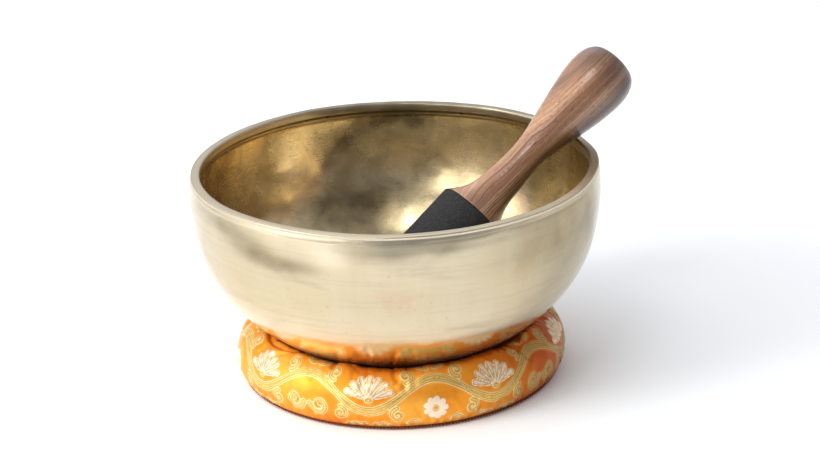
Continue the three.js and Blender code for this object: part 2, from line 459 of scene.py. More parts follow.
def brass_material():
    M = Mat("hammered_brass")
    P = M.coords("Object")
    x, y, z = M.sep(P)
    arc, zone, pits = M.attr("arc"), M.attr("zone"), M.attr("pits")
    inside = M.remap(zone, 0.72, 0.9)
    lip = M.math("MULTIPLY", M.remap(zone, 0.2, 0.45), M.math("SUBTRACT", 1.0, M.remap(zone, 0.55, 0.8)))
    # brushing runs round the bowl: fine along the arc, long round it
    around = M.xyz(x, y, arc)
    fine = M.noise(M.mapping(around, (24, 24, 1500)), 1.0, 2, 0.5)
    mid = M.noise(M.mapping(around, (16, 16, 420)), 1.0, 3, 0.6)
    cross = M.noise(M.mapping(around, (520, 520, 30)), 1.0, 2, 0.5)
    big = M.noise(M.mapping(around, (9, 9, 14)), 1.0, 3, 0.5, 0.4)
    spots = M.noise(M.mapping(around, (22, 22, 30)), 1.0, 4, 0.6, 0.8)
    pale, warm, olive = (0.80, 0.690, 0.490), (0.77, 0.625, 0.385), (0.60, 0.515, 0.36)
    col = M.mix(M.remap(big, 0.35, 0.72), pale, warm)
    col = M.mix(M.math("MULTIPLY", M.remap(mid, 0.45, 0.75), 0.35), col, olive)
    gold = M.mix(M.remap(spots, 0.35, 0.65), (0.70, 0.54, 0.29), (0.80, 0.63, 0.35))
    col = M.mix(M.math("MULTIPLY", inside, 0.70), col, gold)
    # faint copper blushes and darker tarnish
    col = M.mix(M.math("MULTIPLY", M.remap(spots, 0.60, 0.72), 0.30), col, (0.74, 0.42, 0.28))
    tarn = M.noise(M.mapping(around, (13, 13, 45), (0.3, 0.1, 0.2)), 1.0, 5, 0.62, 0.6)
    col = M.mix(M.math("MULTIPLY", M.remap(tarn, 0.52, 0.75), 0.35), col, (0.36, 0.29, 0.18))
    col = M.mix(M.math("MULTIPLY", lip, 0.5), col, (0.60, 0.53, 0.42))
    # faint upright streaks, warm and pale by turns
    upr = M.noise(M.mapping(around, (75, 75, 7)), 1.0, 3, 0.6)
    col = M.mix(M.math("MULTIPLY", M.remap(upr, 0.52, 0.72), 0.22), col, (0.66, 0.50, 0.32))
    col = M.mix(M.math("MULTIPLY", M.remap(upr, 0.46, 0.30), 0.18), col, (0.86, 0.78, 0.62))
    # inside: darker mottling, fine specks and faint upright streaks left by polishing
    mott = M.noise(M.mapping(around, (48, 48, 60), (0.7, 0.2, 0.1)), 1.0, 5, 0.62, 0.8)
    speck = M.noise(M.mapping(around, (420, 420, 460)), 1.0, 2, 0.5)
    dk = M.math("MULTIPLY", M.remap(mott, 0.40, 0.68), 0.55)
    dk = M.math("ADD", dk, M.math("MULTIPLY", M.remap(speck, 0.60, 0.72), 0.25))
    col = M.mix(M.math("MULTIPLY", dk, inside), col, (0.34, 0.28, 0.17))
    col = M.mix(M.math("MULTIPLY", M.math("MULTIPLY", M.remap(speck, 0.66, 0.74), 0.35), M.math("SUBTRACT", 1.0, inside)), col, (0.50, 0.40, 0.25))
    # painted dark reflection: the outside wall is darkened towards its upper part
    painted_dark_top = M.math("MULTIPLY", M.math("MULTIPLY", M.remap(z, 0.045, 0.085), M.remap(zone, 0.30, 0.12)), 1.0)
    col = M.mix(M.math("MULTIPLY", painted_dark_top, 0.22), col, (0.0, 0.0, 0.0))
    # painted reflections: the brass is darkened where tone is positive and painted paler where it is negative
    painted_refl = M.attr("tone")
    col = M.mix(painted_refl, col, M.mix(1.0, col, (0.36, 0.335, 0.285), "MULTIPLY"))
    col = M.mix(M.math("MULTIPLY", M.math("MULTIPLY", painted_refl, -1.0), 1.0), col, (0.95, 0.85, 0.66))
    col = M.mix(M.remap(pits, 0.02, 0.2), col, (0.06, 0.045, 0.03))
    rough = M.math("ADD", M.math("MULTIPLY", fine, 0.08), M.math("MULTIPLY", spots, 0.10))
    low = M.math("MULTIPLY", M.remap(z, 0.050, 0.022), M.math("SUBTRACT", 1.0, inside))
    rough = M.math("ADD", rough, M.math("MULTIPLY", low, 0.17))
    rough = M.math("ADD", rough, M.math("MULTIPLY", M.remap(upr, 0.4, 0.7), 0.05))
    rough = M.math("ADD", rough, M.math("MULTIPLY", lip, 0.14))
    rough = M.math("ADD", rough, M.math("MULTIPLY", inside, 0.080))
    rough = M.math("ADD", rough, 0.070)
    h = M.math("ADD", M.math("MULTIPLY", fine, 0.5), M.math("MULTIPLY", mid, 0.8))
    h = M.math("ADD", h, M.math("MULTIPLY", cross, 0.35))
    h = M.math("MULTIPLY", h, M.math("SUBTRACT", 1.0, M.math("MULTIPLY", inside, 0.65)))
    nrm = M.bump(h, 0.18, 0.00010)
    return M.set(color=col, metal=1.0, rough=rough, normal=nrm)


bowl = build_bowl()
bowl.data.materials.append(brass_material())
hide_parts("singing_bowl")
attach(bowl, "bowl")

# =====================================================================
# mallet: built on its own axis (local +Z runs from the head to the bulb)
# =====================================================================
MALLET_POINT = Vector((91.9, 29.88, 128.44)) * MM
az, el = math.radians(28.44), math.radians(36.86)
AX = Vector((math.cos(el) * math.cos(az), math.cos(el) * math.sin(az), math.sin(el)))
MALLET_M = Matrix.Translation(MALLET_POINT) @ AX.to_track_quat("Z", "Y").to_matrix().to_4x4()
HANDLE = [
    (-70.5, 19.3), (-68.2, 17.6), (-65, 15.2), (-62, 13.4), (-58, 11.9), (-53, 10.75), (-47, 10.1), (-40, 9.7),
    (-30, 9.3), (-20, 9.9), (-10, 11.7), (0, 13.7), (10, 15.8), (18, 17.3), (26, 18.3), (33, 18.4), (39, 17.3),
    (43, 15.2), (45.4, 12.3), (46.5, 8.5), (46.9, 4.0), (46.95, 0)]
HEAD_END, CORE_R, SLEEVE_R, SLEEVE_TOP = -159.2, 16.2, 20.2, -70.9


def on_mallet(name, verts, quads, tris, at):
    """makes a mesh given on the mallet's own axis, set in its place; lx, ly, lz keep its own axes for the materials"""
    verts = np.asarray(verts, float)
    at = dict(at, lx=verts[:, 0], ly=verts[:, 1], lz=verts[:, 2])
    mm = np.array(MALLET_M)
    return make_mesh(name, verts @ mm[:3, :3].T + mm[:3, 3], quads, tris, at)


def lathe_closed(name, prof, nt, disp=None, attrs_fn=None):
    """solid of revolution about local Z from (r, z) points in mm whose first and last points lie on the axis"""
    th = np.linspace(-math.pi, math.pi, nt, endpoint=False)
    r, z = prof[1:-1, 0], prof[1:-1, 1]
    TH, Z = np.meshgrid(th, z)
    R = r[:, None] + 0 * TH
    dx = 0
    if disp is not None:
        R, Z, dx = disp(TH, R, Z)
    V3 = np.stack([R * np.cos(TH) + dx, R * np.sin(TH), Z], -1).reshape(-1, 3)
    n = len(r)
    verts = np.vstack([V3, [[0, 0, prof[0, 1]], [0, 0, prof[-1, 1]]]]) * MM
    j = np.arange(nt)
    up_ = prof[-1, 1] > prof[0, 1]
    quads = grid_quads(n, nt, flip=False)
    a = np.stack([np.full(nt, n * nt), (j + 1) % nt, j], -1)
    last = (n - 1) * nt
    b = np.stack([np.full(nt, n * nt + 1), last + j, last + (j + 1) % nt], -1)
    arc = arc_length(prof)
    at = {"arc": np.append(np.repeat(arc[1:-1], nt), [arc[0], arc[-1]]) * MM}
    return on_mallet(name, verts, quads, np.vstack([a, b]), at)


def build_handle():
    h = np.array([(r, s) for s, r in HANDLE])
    flare = spline(h, step=0.9)
    core = np.array([(0, HEAD_END), (4, HEAD_END), (8, HEAD_END), (12, HEAD_END), (CORE_R - 1.2, HEAD_END + 0.02), (CORE_R - 0.5, HEAD_END + 0.2),
                     (CORE_R, HEAD_END + 0.8)])
    up_core = np.array([(CORE_R, s) for s in np.linspace(HEAD_END + 3, -71.6, 30)])
    shoulder = np.array([(CORE_R + 0.05, -71.1), (CORE_R + 0.6, -70.62), (17.8, -70.55), (18.9, -70.55)])
    prof = np.vstack([core, up_core, shoulder, flare])

    def disp(TH, R, Z):
        w = sstep(-68, -55, Z)
        near = np.exp(-((Z / 9.0) ** 2)) * np.exp(-((np.abs(TH) / 9) ** 2))
        n = value_noise(np.cos(TH) * 1.3, np.sin(TH) * 1.3, Z / 24, seed=4, octaves=2)
        R2 = R + w * (0.22 * n - 0.12) * (1 - 0.8 * near)
        # tool facets left by the gouge, very faint
        R2 = R2 + w * 0.03 * np.sin(Z * 1.9 + 1.5 * np.cos(TH))
        return R2, Z, 0

    return lathe_closed("mallet_handle_wood", prof, 112, disp)


def build_sleeve():
    """thick-walled sleeve with a butt seam along its underside"""
    inner = CORE_R + 0.35
    end = HEAD_END + 0.1
    outp = [(inner, end + 0.5), (inner + 0.3, end + 0.15), (inner + 0.9, end), (SLEEVE_R - 1.3, end), (SLEEVE_R - 0.5, end + 0.25), (SLEEVE_R - 0.1, end + 0.75), (SLEEVE_R, end + 1.5)]
    side = [(SLEEVE_R, s) for s in np.linspace(end + 3.0, SLEEVE_TOP - 1.8, 60)]
    topp = [(SLEEVE_R, SLEEVE_TOP - 1.0), (SLEEVE_R - 0.08, SLEEVE_TOP - 0.5), (SLEEVE_R - 0.35, SLEEVE_TOP - 0.14), (SLEEVE_R - 0.8, SLEEVE_TOP), (inner + 1.2, SLEEVE_TOP), (inner + 0.3, SLEEVE_TOP - 0.1), (inner, SLEEVE_TOP - 0.4)]
    back = [(inner, s) for s in np.linspace(SLEEVE_TOP - 2, end + 2, 30)]
    prof = np.array(outp + side + topp + back)
    nt = 180
    th = np.linspace(-math.pi, math.pi, nt, endpoint=False)
    TH, Z = np.meshgrid(th, prof[:, 1])
    R = prof[:, 0][:, None] + 0 * TH
    outer_w = sstep(inner + 1.0, SLEEVE_R - 0.3, R)
    d = (TH - SEAM_TH + math.pi) % (2 * math.pi) - math.pi
    seam = np.exp(-((d * SLEEVE_R / 0.45) ** 2))
    lift = np.exp(-(((np.abs(d) * SLEEVE_R - 1.2) / 0.9) ** 2))
    R = R + outer_w * (-0.75 * seam + 0.06 * lift)
    R = R + outer_w * 0.10 * (value_noise(np.cos(TH) * 3, np.sin(TH) * 3, Z / 14, seed=12, octaves=3) - 0.6)
    edge = 0.12 * value_noise(np.cos(TH) * 4, np.sin(TH) * 4, 0, seed=14, octaves=2)
    Z = Z + np.where(Z > SLEEVE_TOP - 3, edge, 0)
    V3 = np.stack([R * np.cos(TH), R * np.sin(TH), Z], -1).reshape(-1, 3) * MM
    quads = grid_quads(len(prof), nt, wrap_v=True)
    return on_mallet("mallet_sleeve_wrap", V3, quads, None, {"arc": np.repeat(arc_length(prof), nt) * MM})


# painted shade: the side facing down and to the right (local x, y) is painted darker
SHADED_SIDE = MALLET_M.to_3x3().inverted() @ Vector((0.35, -0.25, -0.90))
SHADED_SIDE = Vector((SHADED_SIDE.x, SHADED_SIDE.y)).normalized()


def wood_material():
    M = Mat("turned_rosewood")
    P = M.xyz(M.attr("lx"), M.attr("ly"), M.attr("lz"))
    x, y, z = M.sep(P)
    # slow bending of the grain, then growth rings round a pith outside the stick
    wob = M.noise(M.mapping(P, (30, 30, 9)), 1.0, 2, 0.5, out="Color")
    warp = M.vmath("MULTIPLY", M.vmath("SUBTRACT", wob, (0.5, 0.5, 0.5)), (0.016, 0.016, 0.0))
    Q = M.vmath("ADD", P, warp)
    qx, qy, qz = M.sep(Q)
    dx = M.math("ADD", qx, 0.021)
    dy = M.math("ADD", qy, 0.034)
    d = M.math("SQRT", M.math("ADD", M.math("MULTIPLY", dx, dx), M.math("MULTIPLY", dy, dy)))
    d = M.math("ADD", d, M.math("MULTIPLY", qz, 0.045))
    # painted light and shade: darker on the side facing down and to the right, lighter on the side facing up and to the
    # left
    rr = M.math("SQRT", M.math("ADD", M.math("ADD", M.math("MULTIPLY", x, x), M.math("MULTIPLY", y, y)), 1e-7))
    painted_light_shade = M.math("DIVIDE", M.math("ADD", M.math("MULTIPLY", x, SHADED_SIDE[0]), M.math("MULTIPLY", y, SHADED_SIDE[1])), rr)
    painted_light_shade = M.math("ADD", painted_light_shade, M.math("MULTIPLY", M.math("SUBTRACT", M.noise(M.mapping(P, (60, 60, 16)), 1.0, 2), 0.5), 0.7))
    rings = M.noise(M.xyz(M.math("MULTIPLY", d, 760.0), 0.0, M.math("MULTIPLY", qz, 3.0)), 1.0, 2, 0.6)
    broad = M.noise(M.xyz(M.math("MULTIPLY", d, 150.0), 7.0, M.math("MULTIPLY", qz, 2.0)), 1.0, 2, 0.5)
    fib = M.noise(M.mapping(Q, (1900, 1900, 42)), 1.0, 3, 0.65)
    pore = M.noise(M.mapping(Q, (2600, 2600, 120)), 1.0, 2, 0.5)
    col = M.ramp(broad, [(0.28, (0.105, 0.042, 0.020)), (0.42, (0.265, 0.118, 0.055)), (0.56, (0.42, 0.205, 0.098)), (0.74, (0.60, 0.335, 0.175))])
    dark = M.remap(rings, 0.53, 0.64)
    col = M.mix(M.math("MULTIPLY", dark, 0.66), col, (0.042, 0.017, 0.010))
    light = M.remap(rings, 0.44, 0.32)
    col = M.mix(M.math("MULTIPLY", light, 0.35), col, (0.56, 0.34, 0.19))
    thin = M.noise(M.xyz(M.math("MULTIPLY", d, 1700.0), 3.0, M.math("MULTIPLY", qz, 5.0)), 1.0, 2, 0.6)
    col = M.mix(M.math("MULTIPLY", M.remap(thin, 0.54, 0.64), 0.50), col, (0.070, 0.030, 0.018))
    col = M.mix(M.math("MULTIPLY", M.remap(thin, 0.44, 0.36), 0.25), col, (0.52, 0.31, 0.17))
    col = M.mix(M.math("MULTIPLY", M.remap(fib, 0.42, 0.7), 0.40), col, (0.12, 0.055, 0.030))
    pm = M.remap(pore, 0.57, 0.66)
    col = M.mix(M.math("MULTIPLY", pm, 0.60), col, (0.055, 0.027, 0.018))
    # painted light on the side facing up and left, painted shade on the side facing down and right
    col = M.mix(M.math("MULTIPLY", M.remap(painted_light_shade, -0.05, -0.85), 0.45), col, M.mix(1.0, col, (1.38, 1.46, 1.50), "MULTIPLY"))
    col = M.mix(M.math("MULTIPLY", M.remap(painted_light_shade, 0.15, 0.90), 0.80), col, M.mix(1.0, col, (0.34, 0.30, 0.30), "MULTIPLY"))
    # painted shade: darker towards the bulb's far end
    col = M.mix(M.math("MULTIPLY", M.remap(z, 0.014, 0.044), 0.85), col, M.mix(1.0, col, (0.36, 0.32, 0.34), "MULTIPLY"))
    rough = M.math("ADD", M.math("MULTIPLY", fib, 0.22), 0.24)
    hgt = M.math("SUBTRACT", M.math("MULTIPLY", fib, 0.6), M.math("MULTIPLY", pm, 1.0))
    nrm = M.bump(hgt, 0.40, 0.00018)
    return M.set(color=col, rough=rough, normal=nrm, spec=0.35, coat=0.9, coat_rough=0.21, coat_ior=1.65)


def sleeve_material():
    M = Mat("black_sleeve")
    P = M.xyz(M.attr("lx"), M.attr("ly"), M.attr("lz"))
    n1 = M.noise(M.mapping(P, (900, 900, 900)), 1.0, 3, 0.65)
    n2 = M.noise(M.mapping(P, (90, 90, 60)), 1.0, 4, 0.6, 0.3)
    sp = M.noise(M.mapping(P, (2600, 2600, 2600)), 1.0, 1, 0.5)
    col = M.mix(M.remap(n1, 0.35, 0.7), (0.010, 0.010, 0.0105), (0.024, 0.024, 0.0247))
    col = M.mix(M.math("MULTIPLY", M.remap(n2, 0.5, 0.75), 0.5), col, (0.036, 0.036, 0.037))
    col = M.mix(M.math("MULTIPLY", M.remap(sp, 0.70, 0.78), 0.5), col, (0.16, 0.155, 0.15))
    rough = M.math("ADD", M.math("MULTIPLY", n2, 0.2), 0.58)
    nrm = M.bump(M.math("ADD", n1, M.math("MULTIPLY", sp, 0.6)), 0.5, 0.00018)
    return M.set(color=col, rough=rough, normal=nrm, spec=0.35)


# the seam lies on the side of the sleeve that faces the bowl's floor and the back
side_dir = MALLET_M.to_3x3().inverted() @ Vector((0.25, 0.75, -0.6))
SEAM_TH = math.atan2(side_dir.y, side_dir.x)
handle = build_handle()
handle.data.materials.append(wood_material())
sleeve = build_sleeve()
sleeve.data.materials.append(sleeve_material())
for ob, node, sl in ((handle, "mallet_handle", "turned_rosewood"), (sleeve, "mallet_sleeve", "black_sleeve")):
    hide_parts(node)
    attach(ob, "mallet")


# =====================================================================
# cushion
# =====================================================================
BASE_R, BASE_T, COVER_T, BED_GAP = 86.4, 1.2, 1.0, 0.4
COVER_OUTSIDE = [(86.9, 1.7), (88.9, 4.2), (90.0, 8.2), (90.1, 12.6), (89.2, 17.4), (87.3, 22.0), (84.4, 26.2), (80.6, 29.6), (77.2, 31.3)]
WELL = [(43.0, 13.6), (38.6, 10.6), (35.2, 6.6), (33.6, 1.7)]
BOWL_ARR = np.array(BOWL_OUTER)
NT, R_REF = 720, 88.0


def bowl_under(r):
    """height of the bowl's underside at radius r, mm"""
    p = spline(BOWL_OUTER, n=900)
    p = p[: np.argmax(p[:, 0] > 110.5)]
    return np.interp(r, p[:, 0], p[:, 1])


def cover_profile():
    bed = [(r, float(bowl_under(r)) - BED_GAP * 1.15) for r in (73.6, 70, 66, 62, 58, 54, 50.5, 47.0)]
    return spline(COVER_OUTSIDE + bed + WELL, step=0.8)


PROF = cover_profile()
V_ARC = arc_length(PROF)
V_TOT = V_ARC[-1]
V_CREST = V_ARC[np.argmax(PROF[:, 1])]
V_BED = V_ARC[np.argmin(abs(PROF[:, 0] - 73.6) + 100 * (V_ARC < V_CREST))]


def fold_field(TH, V):
    """how far the cover stands off its plain profile, mm (positive outwards)"""
    c, s = np.cos(TH), np.sin(TH)
    d = 0.75 * value_noise(c * 3.0, s * 3.0, V / 26, seed=41, octaves=2)
    d += 0.30 * value_noise(c * 8.0, s * 8.0, V / 9, seed=43, octaves=2)
    # puckers drawn in by the foot stitching
    foot = np.exp(-V / 5.5)
    d += foot * 0.55 * value_noise(c * 17, s * 17, V / 22, seed=47, octaves=2) - 0.25 * foot
    # gathers running in under the bowl
    g = np.abs(value_noise(c * 11, s * 11, V / 60, seed=53, octaves=2))
    g2 = np.abs(value_noise(c * 21 + 4, s * 21, V / 70, seed=59))
    rise = sstep(V_CREST - 9, V_BED + 3, V)
    d -= rise * (1.5 * sstep(0.16, 0.0, g) + 0.8 * sstep(0.14, 0.0, g2))
    inner = sstep(V_BED + 10, V_TOT - 8, V)
    d -= inner * 0.9 * sstep(0.25, 0.0, g2)
    return d


def crease(TH, V, path, width, depth):
    """a soft valley along a path of (degrees, mm up the cover)"""
    p = spline([(math.radians(a) * R_REF, v) for a, v in path], step=1.0)
    best = np.full(TH.shape, 1e9)
    t = np.linspace(0, 1, len(p))
    w = np.zeros(TH.shape)
    for (a, v), u in zip(p, t):
        da = ((TH * R_REF - a + math.pi * R_REF) % (2 * math.pi * R_REF)) - math.pi * R_REF
        q = np.hypot(da, V - v)
        near = q < best
        w = np.where(near, np.sin(math.pi * min(max(u, 0.0), 1.0)) ** 0.6, w)
        best = np.where(near, q, best)
    return w * (-depth * np.exp(-(best / width) ** 2) + 0.45 * depth * np.exp(-((best - 2.4 * width) / (1.3 * width)) ** 2))


# ---- brocade: strokes of (degrees, mm up the cover, half width mm) ------
def spiral(a, v, r0, r1, turns, start, w0, w1, n=16, hand=1):
    out = []
    for i in range(n):
        u = i / (n - 1)
        r = r0 + (r1 - r0) * u ** 0.85
        ang = math.radians(start) + hand * u * turns * 2 * math.pi
        out.append((a + math.degrees(r * math.cos(ang) / R_REF), v + r * math.sin(ang), w0 + (w1 - w0) * u))
    return out


def petal(a, v, angle, length, w, bend=0.35):
    """a leaf-shaped stroke that starts thin, swells and ends in a point"""
    out = []
    for i in range(7):
        u = i / 6
        ang = math.radians(angle) + bend * (u - 0.2) * 2
        x = length * u
        out.append((a + math.degrees((x * math.cos(ang)) / R_REF), v + x * math.sin(ang), max(0.25, w * math.sin(math.pi * min(1, 0.12 + u * 0.86)) ** 0.8)))
    return out


def lobes(a, v, n, r0, r1, w0, w1, lo, hi):
    """n round-ended lobes spread from lo to hi degrees about a point"""
    out = []
    for j in range(n):
        t = math.radians(lo + (hi - lo) * j / (n if hi - lo >= 360 else n - 1))
        out.append([(a + math.degrees(r * math.cos(t) / R_REF), v + r * math.sin(t), w) for r, w in ((r0, w0), ((r0 + r1) / 2, (w0 + w1) / 2), (r1, w1))])
    return out


SCROLL_N = 8                                    # equal repeats of the woven pattern round the cushion


def running_scroll():
    """a plain running scroll: one wave round the cushion, the same stock ornaments in every second lobe"""
    A, B, C = [], [], []
    p = 360 / SCROLL_N
    for k in range(SCROLL_N):
        a0 = k * p
        crest, trough = a0 + 0.25 * p, a0 + 0.75 * p
        A.append([(a0 + p * u, 20.0 + 8.5 * math.sin(2 * math.pi * u), 1.7 + 0.8 * abs(math.sin(2 * math.pi * u))) for u in np.linspace(-0.02, 1.02, 15)])
        if k % 2:
            for h in (-1, 1):                     # two equal curls, back to back
                A.append(spiral(crest + h * 4.9, 11.8, 5.6, 1.2, 1.3, 90 + h * 90, 1.6, 0.9, 18, h))
        else:
            C += lobes(crest, 12.2, 9, 2.8, 5.0, 1.0, 1.55, 0, 360)          # a round rosette
            A.append([(crest - 0.3, 12.2, 1.1), (crest, 12.2, 1.2), (crest + 0.3, 12.2, 1.1)])
            for h in (-1, 1):
                A.append(petal(crest + h * 5.2, 4.2, 90 - h * 62, 7.5, 1.4, -h * 0.35))
        B += lobes(trough, 17.6, 7, 2.4, 12.3, 0.6, 1.95, 20, 160)           # a palmette over the trough
        A.append([(trough - 0.5, 17.6, 1.3), (trough, 17.6, 1.5), (trough + 0.5, 17.6, 1.3)])
        for h in (-1, 1):                         # small curls on either side of the lobes
            A.append(spiral(trough + h * 13.0, 31.0, 4.1, 0.9, 1.2, 270, 1.4, 0.8, 14, h))
            A.append(spiral(crest + h * 12.8, 9.4, 3.9, 0.9, 1.2, 90, 1.3, 0.8, 14, -h))
        for h in (-1, 1):                         # paired sprigs over the crest and under the trough
            A.append(petal(crest + h * 1.0, 34.6, 90 - h * 72, 9.0, 1.7, h * 0.22))
            A.append(petal(trough + h * 1.2, 2.6, 90 - h * 74, 11.5, 1.6, -h * 0.22))
    return A, B, C


def all_strokes():
    grps = running_scroll()
    # the same cloth goes on under the bowl, half a repeat round
    half = 180 / SCROLL_N
    return [grps, [[[(a + half, 47 + v * 1.15, w * 0.95) for a, v, w in st] for st in grp] for grp in grps]]


def stroke_field(TH, V, strokes):
    """signed distance in mm to a set of strokes, negative inside"""
    rows, cols = TH.shape
    th, v = TH[0], V[:, 0]
    out = np.full(TH.shape, 9.0)
    L = 2 * math.pi * R_REF
    for st in strokes:
        p = np.array([(math.radians(a) * R_REF, b, w) for a, b, w in st])
        p = spline(p, step=0.7) if len(p) > 2 else p
        p[:, 2] = np.maximum(p[:, 2], 0.2)
        for s0, s1 in zip(p[:-1], p[1:]):
            reach = max(s0[2], s1[2]) + 3.2
            lo, hi = min(s0[1], s1[1]) - reach, max(s0[1], s1[1]) + reach
            r0, r1 = np.searchsorted(v, (lo, hi))
            if r0 >= r1:
                continue
            c = (s0[0] + s1[0]) / 2
            da = (th * R_REF - c + L / 2) % L - L / 2
            cc = np.where(abs(da) < reach + abs(s1[0] - s0[0]))[0]
            if len(cc) == 0:
                continue
            x = da[cc][None] + 0 * v[r0:r1][:, None]
            y = v[r0:r1][:, None] + 0 * x
            ax, ay, bx, by = s0[0] - c, s0[1], s1[0] - c, s1[1]
            ex, ey = bx - ax, by - ay
            u = np.clip(((x - ax) * ex + (y - ay) * ey) / (ex * ex + ey * ey + 1e-9), 0, 1)
            dd = np.hypot(x - ax - u * ex, y - ay - u * ey) - (s0[2] + u * (s1[2] - s0[2]))
            sub = out[r0:r1][:, cc]
            out[r0:r1, cc] = np.minimum(sub, dd)
    return out


SIM_K = 10.0                                    # the cloth runs at ten times size, where Blender's solver is at home


def periodic_fill(C, rows_from, rows_to, nt):
    """smooth resampling of a (rows, angles) field to finer rows and angles, wrapping round in angle"""
    F = np.fft.rfft(C, axis=1)
    G = np.zeros((C.shape[0], nt // 2 + 1), complex)
    m = min(F.shape[1], G.shape[1])
    taper = np.cos(np.linspace(0, 1, m) ** 4 * math.pi / 2) ** 0.5
    G[:, :m] = F[:, :m] * taper
    A = np.fft.irfft(G, nt, axis=1) * (nt / C.shape[1])
    out = np.empty((len(rows_to), nt))
    k = np.clip(np.searchsorted(rows_from, rows_to) - 1, 0, len(rows_from) - 2)
    u = ((rows_to - rows_from[k]) / (rows_from[k + 1] - rows_from[k]))[:, None]
    a0, a1 = A[np.maximum(k - 1, 0)], A[k]
    a2, a3 = A[k + 1], A[np.minimum(k + 2, len(rows_from) - 1)]
    out = 0.5 * (2 * a1 + (a2 - a0) * u + (2 * a0 - 5 * a1 + 4 * a2 - a3) * u ** 2 + (3 * a1 - a0 - 3 * a2 + a3) * u ** 3)
    return out


def simulate_cover():
    """the stuffed cover under pressure with both seams held and the bowl sitting on it; returns fine offsets in mm (radial, round, up)"""
    nt = 288
    vs = np.concatenate([np.linspace(0, V_BED, 24), np.linspace(V_BED, V_TOT, 17)[1:]])
    r = np.interp(vs, V_ARC, PROF[:, 0])
    z = np.interp(vs, V_ARC, PROF[:, 1])
    nn = normals2(np.stack([r, z], 1))
    nn = -nn if nn[np.argmax(r)][0] < 0 else nn
    th = np.linspace(-math.pi, math.pi, nt, endpoint=False)
    TH, V = np.meshgrid(th, vs)
    # start a little slack and uneven, as the wadding is
    hold = (sstep(0, 9, V) * sstep(V_TOT, V_TOT - 9, V))
    uneven = -1.6 * hold + hold * (0.9 * value_noise(np.cos(TH) * 5, np.sin(TH) * 5, V / 20, seed=101, octaves=2)
                                   + 0.35 * value_noise(np.cos(TH) * 14, np.sin(TH) * 14, V / 8, seed=103, octaves=2))
    R0 = r[:, None] + nn[:, 0:1] * uneven
    Z0 = z[:, None] + nn[:, 1:2] * uneven
    top_pts = np.stack([R0 * np.cos(TH), R0 * np.sin(TH), Z0], -1)
    # closed underneath by a plain held ring
    rb = np.linspace(r[-1], r[0], 14)[1:-1]
    RB, TB = np.meshgrid(rb, th, indexing="ij")
    bot = np.stack([RB * np.cos(TB), RB * np.sin(TB), np.full(RB.shape, z[0])], -1)
    P = np.vstack([top_pts, bot])
    nv = len(P)
    ob = make_mesh("sim_cover", P.reshape(-1, 3) * MM * SIM_K, grid_quads(nv, nt, wrap_v=True))
    vg = ob.vertex_groups.new(name="held")
    w = np.ones((nv, nt))
    ntop = len(vs)
    w[:ntop] = 0
    w[0] = 1
    w[ntop - 1] = 1
    w[1] = 0.6
    w[ntop - 2] = 0.6
    for val in (1.0, 0.6):
        idx = np.where(w.ravel() == val)[0]
        vg.add([int(i) for i in idx], val, "REPLACE")
    # the bowl it carries, as a plain still surface
    pr = spline(BOWL_OUTER, n=60)
    pr = pr[pr[:, 0] < 104]
    ct = 120
    tc = np.linspace(-math.pi, math.pi, ct, endpoint=False)
    C = np.stack([pr[1:, 0][:, None] * np.cos(tc), pr[1:, 0][:, None] * np.sin(tc), pr[1:, 1][:, None] + 0 * tc], -1)
    bowl_c = make_mesh("sim_bowl", C.reshape(-1, 3) * MM * SIM_K, grid_quads(len(pr) - 1, ct))
    col = bowl_c.modifiers.new("Collision", "COLLISION")
    bowl_c.collision.thickness_outer = 0.004
    bowl_c.collision.cloth_friction = 12
    md = ob.modifiers.new("Cloth", "CLOTH")
    cs = md.settings
    cs.quality = 7
    cs.mass = 0.25
    cs.tension_stiffness = 14
    cs.compression_stiffness = 14
    cs.shear_stiffness = 4
    cs.bending_stiffness = 0.12
    cs.tension_damping = cs.compression_damping = cs.shear_damping = 6
    cs.bending_damping = 0.6
    cs.air_damping = 2.0
    cs.use_pressure = True
    cs.uniform_pressure_force = 5.0
    cs.vertex_group_mass = "held"
    cs.pin_stiffness = 5.0
    cs.shrink_min = -0.055
    cs.shrink_max = -0.055
    cs.effector_weights.gravity = 0
    cc = md.collision_settings
    cc.use_collision = True
    cc.distance_min = 0.004
    cc.collision_quality = 3
    cc.use_self_collision = False
    sc = bpy.context.scene
    sc.frame_start, sc.frame_end = 1, 60
    frames = 34
    md.point_cache.frame_start, md.point_cache.frame_end = 1, frames
    for f in range(1, frames + 1):
        sc.frame_set(f)
    dg = bpy.context.evaluated_depsgraph_get()
    ev = ob.evaluated_get(dg)
    me = ev.to_mesh()
    co = np.empty(len(me.vertices) * 3, np.float32)
    me.vertices.foreach_get("co", co)
    ev.to_mesh_clear()
    co = co.reshape(nv, nt, 3)[:ntop].astype(float) / SIM_K / MM
    sc.frame_set(1)
    for o in (ob, bowl_c):
        m_ = o.data
        bpy.data.objects.remove(o, do_unlink=True)
        bpy.data.meshes.remove(m_)
    base = np.stack([r[:, None] * np.cos(TH), r[:, None] * np.sin(TH), z[:, None] + 0 * TH], -1)
    off = co - base
    er = off[..., 0] * np.cos(TH) + off[..., 1] * np.sin(TH)
    et = -off[..., 0] * np.sin(TH) + off[..., 1] * np.cos(TH)
    ez = off[..., 2]
    keepm = 0.30                                   # the drawn profile stays the mean shape
    er, ez = er - (1 - keepm) * er.mean(1)[:, None], ez - (1 - keepm) * ez.mean(1)[:, None]
    cap = 5.0
    size = np.sqrt(er ** 2 + et ** 2 + ez ** 2)
    f = np.where(size > cap, cap / np.maximum(size, 1e-6), 1.0)
    er, et, ez = er * f, et * f, ez * f
    print("SIM offsets mm: radial %.2f..%.2f round %.2f..%.2f up %.2f..%.2f" % (er.min(), er.max(), et.min(), et.max(), ez.min(), ez.max()))
    return [periodic_fill(q, vs, V_ARC, NT) for q in (er, et, ez)]


